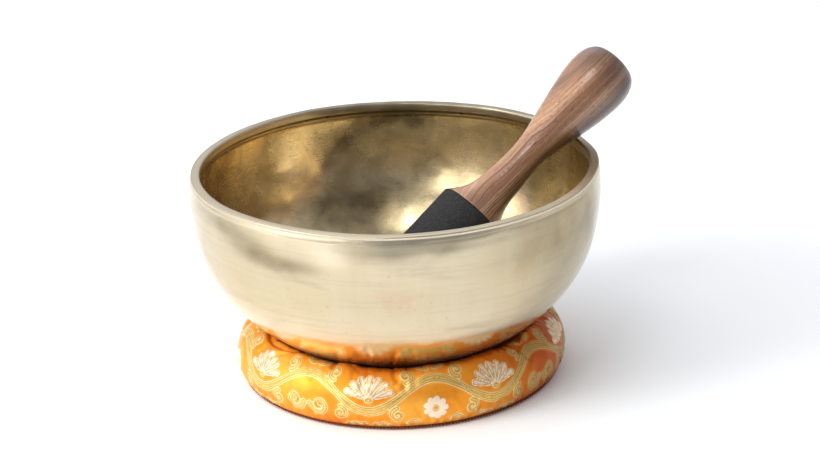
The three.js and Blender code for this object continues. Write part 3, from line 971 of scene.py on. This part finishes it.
def cover_points(TH, V, sim=None):
    """radius, angle and height of the cover's outside for angle and arc grids, in mm and radians"""
    r = np.interp(V[:, 0], V_ARC, PROF[:, 0])
    z = np.interp(V[:, 0], V_ARC, PROF[:, 1])
    n = normals2(np.stack([r, z], 1))
    n = -n if n[np.argmax(r)][0] < 0 else n
    d = fold_field(TH, V)
    if sim is not None:
        d = 0.30 * d
    d += crease(TH, V, [(-128, 41), (-139, 38.5), (-147, 36), (-155, 37), (-163, 41)], 1.5, 1.7)
    d += crease(TH, V, [(-150, 19), (-147, 27), (-141, 33), (-134, 38)], 1.0, 0.6)
    d += crease(TH, V, [(-46, 22), (-42, 28), (-37, 34), (-33, 41)], 1.1, 0.7)
    d += crease(TH, V, [(-112, 41), (-109, 36.5), (-104, 33)], 1.2, 0.35)
    d += crease(TH, V, [(60, 22), (54, 29), (50, 41)], 1.3, 0.9)
    d += crease(TH, V, [(118, 41), (110, 33), (108, 27)], 1.2, 0.8)
    ends = sstep(0, 3.5, V) * sstep(V_TOT, V_TOT - 4, V)
    d = d * (0.25 + 0.75 * ends)
    R = r[:, None] + n[:, 0:1] * d
    Z = z[:, None] + n[:, 1:2] * d
    T = TH.copy()
    if sim is not None:
        R, Z = R + sim[0], Z + sim[2]
        T = T + sim[1] / np.maximum(R, 20)
    # it never rises into the bowl, never passes the floor and never swells past its room
    Z = np.maximum(Z, 1.3)
    lim = bowl_under(np.clip(R, 0, 110)) - BED_GAP
    Z = np.where(R < 100, np.minimum(Z, lim), Z)
    R = np.minimum(R, 92.6)
    return R, T, Z, n, d


def build_cover():
    nv = len(V_ARC)
    th = np.linspace(-math.pi, math.pi, NT, endpoint=False)
    TH, V = np.meshgrid(th, V_ARC)
    R, T, Z, n, d = cover_points(TH, V, simulate_cover())
    # brocade channels
    sets = all_strokes()
    A, B, C, E = [np.full(TH.shape, 9.0) for _ in range(4)]
    for ga, gb, gc in sets:
        A = np.minimum(A, stroke_field(TH, V, ga))
        C = np.minimum(C, stroke_field(TH, V, gc))
        for st in gb:                                     # each leaf lies over the one before and keeps its own edge
            f = stroke_field(TH, V, [st])
            B = np.minimum(B, f)
            E = np.where(f < 0, -f, np.minimum(E, f))
    # raised gold: the figured parts stand 0.15 mm proud
    proud = 0.16 * sstep(0.35, -0.35, np.minimum(np.minimum(A, B), C)) * sstep(V_BED + 2, V_BED - 3, V)
    R = R + n[:, 0:1] * proud
    Z = Z + n[:, 1:2] * proud
    outer = np.stack([R * np.cos(T), R * np.sin(T), Z], -1).reshape(-1, 3)
    # inside face, one cloth thickness in, with fewer rows
    rows = np.unique(np.concatenate([np.arange(0, nv, 4), [nv - 1]]))
    Ri = R[rows] - n[rows, 0:1] * COVER_T
    Zi = Z[rows] - n[rows, 1:2] * COVER_T
    Zi = np.maximum(Zi, 1.45)
    Ri[0] = R[0] - COVER_T * 0.9
    Zi[0] = Z[0]
    Ri[-1] = R[-1] + COVER_T * 0.9
    Zi[-1] = Z[-1]
    inner = np.stack([Ri * np.cos(T[rows]), Ri * np.sin(T[rows]), Zi], -1).reshape(-1, 3)
    q1 = grid_quads(nv, NT)
    q2 = grid_quads(len(rows), NT, flip=True, base=nv * NT)
    j = np.arange(NT)
    j2 = (j + 1) % NT
    base = nv * NT
    q3 = np.stack([j2, j, base + j, base + j2], -1)                       # foot edge
    l1, l2 = (nv - 1) * NT, base + (len(rows) - 1) * NT
    q4 = np.stack([l1 + j, l1 + j2, l2 + j2, l2 + j], -1)                 # middle edge
    far = np.full(len(rows) * NT, 9.0)
    # painted shade: darker on one side and close to the bowl's bed
    deg = np.degrees(TH)
    sh1 = sstep(-70, -44, deg) * (1 - sstep(70, 130, deg)) * (0.55 + 0.45 * sstep(-60, -30, deg))
    sh2 = 0.75 * sstep(29.5, 36.5, V) * (0.35 + 0.65 * sstep(-112, -92, deg) * (1 - sstep(60, 130, deg)))
    shade = 1 - (1 - sh1) * (1 - sh2)
    Th1 = np.concatenate([TH.ravel(), TH[rows].ravel()])
    at = {"sdA": np.concatenate([A.ravel(), far]), "sdB": np.concatenate([B.ravel(), far]), "sdC": np.concatenate([C.ravel(), far]), "edB": np.concatenate([E.ravel(), far]),
          "vv": np.concatenate([V.ravel(), V[rows].ravel()]) * MM, "tx": np.cos(Th1), "ty": np.sin(Th1),
          "shade": np.concatenate([shade.ravel(), shade[rows].ravel()]),
          "dip": np.concatenate([d.ravel(), np.zeros(len(rows) * NT)])}
    ob = make_mesh("cushion_cover_brocade", np.vstack([outer, inner]) * MM, np.vstack([q1, q2, q3, q4]), None, at)
    return ob, (T, V, R, Z, n)


def brocade_material():
    M = Mat("orange_brocade")
    a, b, c = M.attr("sdA"), M.attr("sdB"), M.attr("sdC")
    vv, tx, ty = M.attr("vv"), M.attr("tx"), M.attr("ty")
    P = M.coords("Object")
    # threads: warp runs up the cover, weft runs round it
    round_ = M.xyz(M.math("MULTIPLY", tx, 0.088), M.math("MULTIPLY", ty, 0.088), vv)
    jag = M.noise(M.mapping(round_, (1400, 1400, 2600)), 1.0, 1, 0.5)
    jit = M.math("MULTIPLY", M.math("SUBTRACT", jag, 0.5), 0.30)
    a2, b2, c2 = M.math("ADD", a, jit), M.math("ADD", b, jit), M.math("ADD", c, jit)
    fillA = M.remap(a2, 0.10, -0.10)
    fillB = M.remap(b2, 0.10, -0.10)
    fillC = M.remap(c2, 0.10, -0.10)
    lineA = M.remap(M.math("ABSOLUTE", a2), 0.34, 0.16)
    edge = M.math("ADD", M.attr("edB"), jit)
    lineB = M.remap(M.math("ABSOLUTE", edge), 0.30, 0.14)
    lineA2 = M.remap(M.math("ABSOLUTE", M.math("ADD", a2, 1.05)), 0.26, 0.10)
    lineA3 = M.remap(M.math("ABSOLUTE", M.math("ADD", a2, -0.85)), 0.22, 0.08)
    weft = M.noise(M.mapping(round_, (260, 260, 5200)), 1.0, 2, 0.6)
    warp = M.noise(M.mapping(round_, (5200, 5200, 260)), 1.0, 2, 0.6)
    fleck = M.noise(M.mapping(round_, (1500, 1500, 2300)), 1.0, 2, 0.75)
    slub = M.noise(M.mapping(round_, (120, 120, 900)), 1.0, 3, 0.6)
    tone = M.noise(M.mapping(P, (22, 22, 30)), 1.0, 2, 0.5)
    base = M.mix(M.remap(tone, 0.3, 0.7), (0.84, 0.250, 0.014), (0.90, 0.325, 0.024))
    base = M.mix(M.math("MULTIPLY", M.remap(weft, 0.35, 0.7), 0.30), base, (0.97, 0.43, 0.05))
    silk = M.noise(M.mapping(round_, (34, 34, 60), (0.4, 0.3, 0.1)), 1.0, 2, 0.5)
    base = M.mix(M.math("MULTIPLY", M.remap(silk, 0.48, 0.66), 0.45), base, (0.98, 0.50, 0.075))
    base = M.mix(M.math("MULTIPLY", M.remap(silk, 0.44, 0.30), 0.45), base, (0.74, 0.17, 0.008))
    base = M.mix(M.math("MULTIPLY", M.remap(slub, 0.55, 0.8), 0.20), base, (0.74, 0.19, 0.008))
    shade = M.attr("shade")
    # painted shade on the orange ground
    base = M.mix(shade, base, M.mix(1.0, base, (0.50, 0.255, 0.10), "MULTIPLY"))
    gold = M.mix(M.remap(fleck, 0.35, 0.65), (0.62, 0.35, 0.055), (0.95, 0.66, 0.22))
    gold = M.mix(M.math("MULTIPLY", M.remap(fleck, 0.60, 0.70), 0.65), gold, (0.46, 0.21, 0.025))
    cream = (0.93, 0.70, 0.34)
    pale = M.mix(M.remap(fleck, 0.4, 0.7), (0.96, 0.74, 0.52), (1.0, 0.92, 0.80))
    leaf = M.mix(M.remap(fleck, 0.35, 0.62), (0.88, 0.58, 0.32), (1.0, 0.84, 0.62))
    gm = M.math("MULTIPLY", M.math("MAXIMUM", fillA, 0.0), 1.0)
    col = M.mix(gm, base, gold)
    col = M.mix(M.math("MULTIPLY", M.math("MULTIPLY", lineA2, fillA), 0.55), col, (0.93, 0.72, 0.34))
    col = M.mix(M.math("MULTIPLY", lineA3, 0.30), col, (0.95, 0.55, 0.16))
    dkA = M.math("MAXIMUM", M.remap(M.math("ABSOLUTE", M.math("ADD", a2, 0.62)), 0.24, 0.08), M.remap(M.math("ABSOLUTE", M.math("ADD", a2, 1.62)), 0.22, 0.06))
    col = M.mix(M.math("MULTIPLY", M.math("MULTIPLY", dkA, fillA), 0.55), col, (0.42, 0.17, 0.018))
    col = M.mix(M.math("MULTIPLY", lineA, 0.85), col, cream)
    col = M.mix(fillC, col, pale)
    col = M.mix(fillB, col, leaf)
    dkB = M.math("MULTIPLY", M.remap(M.math("ABSOLUTE", M.math("ADD", edge, -0.62)), 0.32, 0.10), fillB)
    col = M.mix(M.math("MULTIPLY", dkB, 0.60), col, (0.40, 0.19, 0.07))
    col = M.mix(M.math("MULTIPLY", lineB, 0.85), col, (0.97, 0.80, 0.52))
    over = M.math("MAXIMUM", fillB, fillC)
    gold_area = M.math("MAXIMUM", M.math("MAXIMUM", fillA, lineA), over)
    gold_area = M.math("MULTIPLY", gold_area, M.math("SUBTRACT", 1.0, M.math("MULTIPLY", over, 0.55)))
    # painted shade on the gold figures, milder than on the ground
    col = M.mix(M.math("MULTIPLY", shade, gold_area), col, M.mix(1.0, col, (0.58, 0.53, 0.46), "MULTIPLY"))
    raised = M.math("MAXIMUM", M.math("MAXIMUM", gm, lineA), M.math("MAXIMUM", fillB, fillC))
    rough = M.math("SUBTRACT", 0.36, M.math("MULTIPLY", raised, 0.04))
    metal = M.math("ADD", 0.46, M.math("MULTIPLY", M.math("MAXIMUM", gm, fillB), 0.12))
    h = M.math("ADD", M.math("MULTIPLY", weft, 0.55), M.math("MULTIPLY", warp, 0.3))
    h = M.math("ADD", h, M.math("MULTIPLY", M.math("MULTIPLY", fleck, raised), 1.2))
    h = M.math("ADD", h, M.math("MULTIPLY", raised, 0.9))
    nrm = M.bump(h, 0.5, 0.00016)
    return M.set(color=col, rough=rough, metal=metal, normal=nrm, sheen=0.04, sheen_rough=0.35, sheen_tint=(1.0, 0.72, 0.30, 1.0), spec=0.12)


def cloth_material(name, dark, light, scale=2600, rough=0.85):
    M = Mat(name)
    P = M.coords("Object")
    u = M.wave(M.mapping(P, (1, 1, 1)), scale / 6.0, 0.6, 1, direction="X")
    v = M.wave(M.mapping(P, (1, 1, 1)), scale / 6.0, 0.6, 1, direction="Y")
    n = M.noise(M.mapping(P, (160, 160, 160)), 1.0, 4, 0.6)
    fuzz = M.noise(M.mapping(P, (3000, 3000, 3000)), 1.0, 2, 0.6)
    w = M.math("MAXIMUM", u, v)
    col = M.mix(M.math("MULTIPLY", w, 0.6), dark, light)
    col = M.mix(M.math("MULTIPLY", M.remap(n, 0.4, 0.75), 0.35), col, dark)
    nrm = M.bump(M.math("ADD", w, M.math("MULTIPLY", fuzz, 0.5)), 0.5, 0.00018)
    r = M.math("ADD", M.math("MULTIPLY", fuzz, 0.1), rough - 0.05)
    return M.set(color=col, rough=r, normal=nrm, spec=0.3, sheen=0.15)


def thread_material(name, c0, c1):
    M = Mat(name)
    P = M.coords("Object")
    tw = M.wave(M.mapping(P, (1, 1, 1), rot=(0.5, 0.4, 0.8)), 900.0, 1.5, 1, direction="DIAGONAL")
    n = M.noise(M.mapping(P, (900, 900, 900)), 1.0, 3, 0.6)
    col = M.mix(M.math("ADD", M.math("MULTIPLY", tw, 0.6), M.math("MULTIPLY", n, 0.4)), c0, c1)
    rough = M.math("ADD", M.math("MULTIPLY", n, 0.15), 0.62)
    return M.set(color=col, rough=rough, normal=M.bump(tw, 0.5, 0.00012), spec=0.35)


def tube_mesh(name, paths, sides=8, closed=False):
    """closed tubes along paths [(points (n,3) mm, radii (n,))], rounded ends when open"""
    V, Q, T = [], [], []
    base = 0
    for p, r in paths:
        p, r = np.asarray(p, float), np.asarray(r, float)
        n = len(p)
        tan = (np.roll(p, -1, 0) - np.roll(p, 1, 0)) if closed else np.gradient(p, axis=0)
        tan /= np.linalg.norm(tan, axis=1)[:, None]
        ref = np.array([0, 0, 1.0])
        u = np.cross(tan, ref)
        bad = np.linalg.norm(u, axis=1) < 0.15
        u[bad] = np.cross(tan[bad], np.array([1.0, 0.2, 0]))
        u /= np.linalg.norm(u, axis=1)[:, None]
        w = np.cross(tan, u)
        a = np.linspace(0, 2 * math.pi, sides, endpoint=False)
        ringp = p[:, None] + r[:, None, None] * (np.cos(a)[None, :, None] * u[:, None] + np.sin(a)[None, :, None] * w[:, None])
        V.append(ringp.reshape(-1, 3))
        q = grid_quads(n, sides, wrap_v=closed)
        Q.append(q + base)
        if not closed:
            c0, c1 = base + n * sides, base + n * sides + 1
            V.append(np.array([p[0] - tan[0] * r[0] * 0.6, p[-1] + tan[-1] * r[-1] * 0.6]))
            j = np.arange(sides)
            T.append(np.stack([np.full(sides, c0), base + (j + 1) % sides, base + j], -1))
            l = base + (n - 1) * sides
            T.append(np.stack([np.full(sides, c1), l + j, l + (j + 1) % sides], -1))
            base += n * sides + 2
        else:
            base += n * sides
    return make_mesh(name, np.vstack(V) * MM, np.vstack(Q), np.vstack(T) if T else None)


cover, (cT, cV, cR, cZ, cN) = build_cover()
cover.data.materials.append(brocade_material())
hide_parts("cushion_cover")
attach(cover, "cushion")


def build_filling():
    rows = np.unique(np.concatenate([np.arange(3, len(V_ARC) - 3, 3), [len(V_ARC) - 4]]))
    step = 4
    r0 = np.interp(V_ARC, V_ARC, PROF[:, 0])[:, None]
    z0 = np.interp(V_ARC, V_ARC, PROF[:, 1])[:, None]
    off = (cR - r0) * cN[:, 0:1] + (cZ - z0) * cN[:, 1:2]
    # the lowest the cover comes anywhere near each place, so that the wadding stays under every crease
    low = off.copy()
    for i in range(-5, 6):
        sh = np.roll(off, i, 1)
        low = np.minimum(low, sh)
    deep = low.copy()
    for i in range(1, 5):
        deep[i:] = np.minimum(deep[i:], low[:-i])
        deep[:-i] = np.minimum(deep[:-i], low[i:])
    TH = cT[rows][:, ::step]
    n = cN[rows]
    nz = 0.25 * (value_noise(np.cos(TH) * 9, np.sin(TH) * 9, cV[rows][:, ::step] / 9, seed=71, octaves=2) - 1.0)
    d = deep[rows][:, ::step] - (COVER_T + 0.30 - nz)
    Rf = r0[rows] + n[:, 0:1] * d
    Zf = np.maximum(z0[rows] + n[:, 1:2] * d, 1.9)
    foot_r = np.linspace(Rf[0], Rf[-1], 22)[1:-1]
    foot_z = 1.85 + 0.12 * (1 + value_noise(foot_r * np.cos(TH[0]) / 8, foot_r * np.sin(TH[0]) / 8, 0, seed=73))
    Ra = np.vstack([Rf, foot_r[::-1]])
    Za = np.vstack([Zf, foot_z[::-1]])
    T2 = np.broadcast_to(TH[0], Ra.shape)
    V3 = np.stack([Ra * np.cos(T2), Ra * np.sin(T2), Za], -1).reshape(-1, 3) * MM
    return make_mesh("cushion_filling_wadding", V3, grid_quads(len(Ra), Ra.shape[1], wrap_v=True))


def build_base_panel():
    """cloth disc, flat underneath, puckered a little at its stitched edge"""
    nt = 360
    th = np.linspace(-math.pi, math.pi, nt, endpoint=False)
    rr = np.concatenate([np.linspace(2, 80, 40), np.linspace(81, BASE_R, 12)])
    bot = [(r, 0.0) for r in rr[:-1]]
    edge = [(BASE_R - 0.25, 0.05), (BASE_R, 0.35), (BASE_R, 0.85), (BASE_R - 0.25, 1.15)]
    top = [(r, BASE_T) for r in rr[:-1][::-1]]
    prof = np.array([(0, 0.0)] + bot + edge + top + [(0, BASE_T)])
    r, z = prof[1:-1, 0], prof[1:-1, 1]
    TH, Z = np.meshgrid(th, z)
    R = r[:, None] + 0 * TH
    e = sstep(74, 86, R)
    puck = 0.12 * (1 + np.sin(TH * 120 + 0.8 * value_noise(np.cos(TH) * 9, np.sin(TH) * 9, 0, seed=81))) * e
    wave_ = 0.10 * (1 + value_noise(R * np.cos(TH) / 14, R * np.sin(TH) / 14, 0, seed=83, octaves=2)) * sstep(86, 80, R)
    isb = (Z < 0.3)
    Z = np.where(isb, Z + 0.5 * puck * (R > 80) * sstep(0, 0.2, R - 80), Z - puck * 0.5 - wave_)
    V3 = np.stack([R * np.cos(TH), R * np.sin(TH), np.maximum(Z, 0)], -1).reshape(-1, 3)
    n = len(r)
    verts = np.vstack([V3, [[0, 0, 0], [0, 0, BASE_T]]]) * MM
    j = np.arange(nt)
    a = np.stack([np.full(nt, n * nt), (j + 1) % nt, j], -1)
    l = (n - 1) * nt
    b = np.stack([np.full(nt, n * nt + 1), l + j, l + (j + 1) % nt], -1)
    return make_mesh("cushion_base_cloth", verts, grid_quads(n, nt), np.vstack([a, b]))


def stitches(name, radius, z0, count, length, reach, seed, core_r, inward=1):
    """an overcast seam: slanting stitches"""
    r = np.random.default_rng(seed)
    paths = []
    for k in range(count):
        t = (k + r.uniform(-0.12, 0.12)) / count * 2 * math.pi
        lean = length * (0.8 + 0.25 * r.random()) / radius
        pts, rad = [], []
        for i in range(7):
            u = i / 6
            ang = t + (u - 0.5) * lean
            phi = math.pi * (0.10 + 0.86 * u)
            rr = radius + inward * reach * (math.sin(phi) - 0.35)
            zz = z0 + (reach + 0.2) * -math.cos(phi) * 0.9
            pts.append((rr * math.cos(ang), rr * math.sin(ang), max(zz, core_r)))
            rad.append(core_r - 0.05 * abs(2 * u - 1) ** 3)
        paths.append((pts, rad))
    ob = tube_mesh(name, paths, 7)
    return ob


filling = build_filling()
base_panel = build_base_panel()
outer_seam = stitches("cushion_outer_stitches", 87.0, 0.98, 300, 1.7, 0.52, 91, 0.26)
inner_seam = stitches("cushion_inner_stitches", 32.9, 1.9, 96, 1.9, 0.52, 93, 0.26, -1)
for ob, node, sl, mt in (
    (filling, "cushion_filling", "wadding", cloth_material("wadding", (0.62, 0.57, 0.48), (0.85, 0.81, 0.72), 1500, 0.95)),
    (base_panel, "cushion_base_panel", "base_cotton", cloth_material("base_cotton", (0.075, 0.010, 0.007), (0.19, 0.030, 0.018), 5200)),
    (outer_seam, "cushion_outer_seam", "seam_thread", thread_material("seam_thread", (0.22, 0.058, 0.020), (0.42, 0.135, 0.040))),
    (inner_seam, "cushion_inner_seam", "seam_thread", thread_material("seam_thread_inner", (0.22, 0.058, 0.020), (0.42, 0.135, 0.040)))):
    ob.data.materials.append(mt)
    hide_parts(node)
    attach(ob, "cushion")


# =====================================================================
# stage and light
# =====================================================================
def stage_floor():
    n = 24
    x = np.linspace(-6, 6, n + 1)
    X, Y = np.meshgrid(x, x)
    V3 = np.stack([X, Y, 0 * X - 0.0002], -1).reshape(-1, 3)
    i, j = np.meshgrid(np.arange(n), np.arange(n), indexing="ij")
    q = np.stack([i * (n + 1) + j, i * (n + 1) + j + 1, (i + 1) * (n + 1) + j + 1, (i + 1) * (n + 1) + j], -1).reshape(-1, 4)
    ob = make_mesh("studio_floor", V3, q)
    M = Mat("pale_floor")
    P = M.coords("Object")
    px, py, pz = M.sep(P)
    wob = M.math("MULTIPLY", M.math("SUBTRACT", M.noise(M.mapping(P, (3.2, 3.2, 3.2)), 1.0, 2), 0.5), 0.20)
    # painted shade: the floor is darker at the front and at the right, so that the brass mirrors dim surroundings there
    front = M.math("MULTIPLY", M.remap(M.math("ADD", py, wob), -0.34, -0.60), M.remap(M.math("ADD", px, wob), -0.55, -0.15))
    right = M.math("MULTIPLY", M.remap(M.math("ADD", px, M.math("MULTIPLY", wob, 0.4)), 0.27, 0.60), 0.62)
    right = M.math("MULTIPLY", right, M.remap(py, 1.10, 0.50))
    off = M.math("MULTIPLY", M.math("MAXIMUM", front, right), 0.88)
    M.set(color=M.mix(off, (0.925, 0.935, 0.95), (0.42, 0.425, 0.435)), rough=0.75, spec=0.15)
    ob.data.materials.append(M.m)
    return ob


stage_floor()


def area(name, loc, target, size, power, color=(1, 1, 1), shape="SQUARE", size_y=None, spread=math.pi):
    d = bpy.data.lights.new(name, "AREA")
    d.shape = "RECTANGLE" if size_y else shape
    d.size = size
    if size_y:
        d.size_y = size_y
    d.energy = power
    d.color = color
    d.spread = spread
    ob = bpy.data.objects.new(name, d)
    bpy.context.scene.collection.objects.link(ob)
    ob.location = loc
    ob.rotation_mode = "QUATERNION"
    ob.rotation_quaternion = (Vector(target) - Vector(loc)).to_track_quat("-Z", "Y")
    return ob


def direction(az_deg, el_deg):
    a_, e_ = math.radians(az_deg), math.radians(el_deg)
    return Vector((math.cos(e_) * math.cos(a_), math.cos(e_) * math.sin(a_), math.sin(e_)))


def world_light():
    """a dim studio with a few broad soft panels: (azimuth, elevation, half width in degrees, colour)"""
    lobes = [
        (-166, 22, 28, (0.85, 0.85, 0.86)),
        (150, 42, 26, (0.50, 0.50, 0.51)),
        (2, 8, 24, (0.46, 0.46, 0.47)),
        (100, 44, 15, (0.85, 0.85, 0.84)),
        (88, 4, 22, (0.18, 0.19, 0.20)),
        (2, 56, 18, (0.24, 0.24, 0.25)),
    ]
    w = bpy.data.worlds.new("studio")
    bpy.context.scene.world = w
    w.use_nodes = True
    t = w.node_tree
    t.nodes.clear()
    out = t.nodes.new("ShaderNodeOutputWorld")
    bg = t.nodes.new("ShaderNodeBackground")
    tc = t.nodes.new("ShaderNodeTexCoord")
    nrm = t.nodes.new("ShaderNodeVectorMath")
    nrm.operation = "NORMALIZE"
    t.links.new(tc.outputs["Generated"], nrm.inputs[0])

    def vm(op, a_, b_=None, scale=None):
        n = t.nodes.new("ShaderNodeVectorMath")
        n.operation = op
        for i, q in enumerate((a_, b_)):
            if q is None:
                continue
            if isinstance(q, bpy.types.NodeSocket):
                t.links.new(q, n.inputs[i])
            else:
                n.inputs[i].default_value = q
        if scale is not None:
            if isinstance(scale, bpy.types.NodeSocket):
                t.links.new(scale, n.inputs["Scale"])
            else:
                n.inputs["Scale"].default_value = scale
        return n

    def ma(op, a_, b_=0.0):
        n = t.nodes.new("ShaderNodeMath")
        n.operation = op
        for i, q in enumerate((a_, b_)):
            if isinstance(q, bpy.types.NodeSocket):
                t.links.new(q, n.inputs[i])
            else:
                n.inputs[i].default_value = q
        return n.outputs[0]

    d = nrm.outputs[0]
    total = vm("ADD", (0.250, 0.258, 0.275), (0, 0, 0)).outputs[0]
    for az_, el_, sig, col in lobes:
        k = 1.0 / math.radians(sig) ** 2
        dot = vm("DOT_PRODUCT", d, tuple(direction(az_, el_))).outputs["Value"]
        f = ma("EXPONENT", ma("MULTIPLY", ma("SUBTRACT", dot, 1.0), k))
        total = vm("ADD", total, vm("SCALE", tuple(col), None, f).outputs[0]).outputs[0]
    sep = t.nodes.new("ShaderNodeSeparateXYZ")
    t.links.new(d, sep.inputs[0])
    zz = ma("DIVIDE", sep.outputs["Z"], 0.07)
    band = ma("EXPONENT", ma("MULTIPLY", ma("MULTIPLY", zz, zz), -1.0))
    total = vm("ADD", total, vm("SCALE", (0.45, 0.46, 0.47), None, band).outputs[0]).outputs[0]
    t.links.new(total, bg.inputs[0])
    bg.inputs[1].default_value = 1.0
    t.links.new(bg.outputs[0], out.inputs[0])


world_light()
key = area("key", direction(-158, 26) * 2.6, (0, 0, 0.05), 1.0, 36.0, (1.0, 0.995, 0.985))
key.visible_glossy = False
top = area("top", (-0.12, 0.16, 1.9), (0, 0, 0), 2.2, 16.0, (0.96, 0.98, 1.0))
top.visible_glossy = False
area("key_panel", direction(-157, 28) * 2.6, (0, 0, 0.05), 1.35, 18.0, (1.0, 0.995, 0.985))
area("window", direction(-129, 26) * 1.35, (0, 0, 0.07), 0.48, 1.6, (1.0, 0.99, 0.97), size_y=0.48)
area("overhead_front", direction(-110, 59) * 1.35, (0, 0, 0.10), 0.36, 1.9, (1.0, 0.995, 0.985))
bpy.context.scene.view_settings.view_transform = "Standard"
bpy.context.scene.view_settings.look = "None"
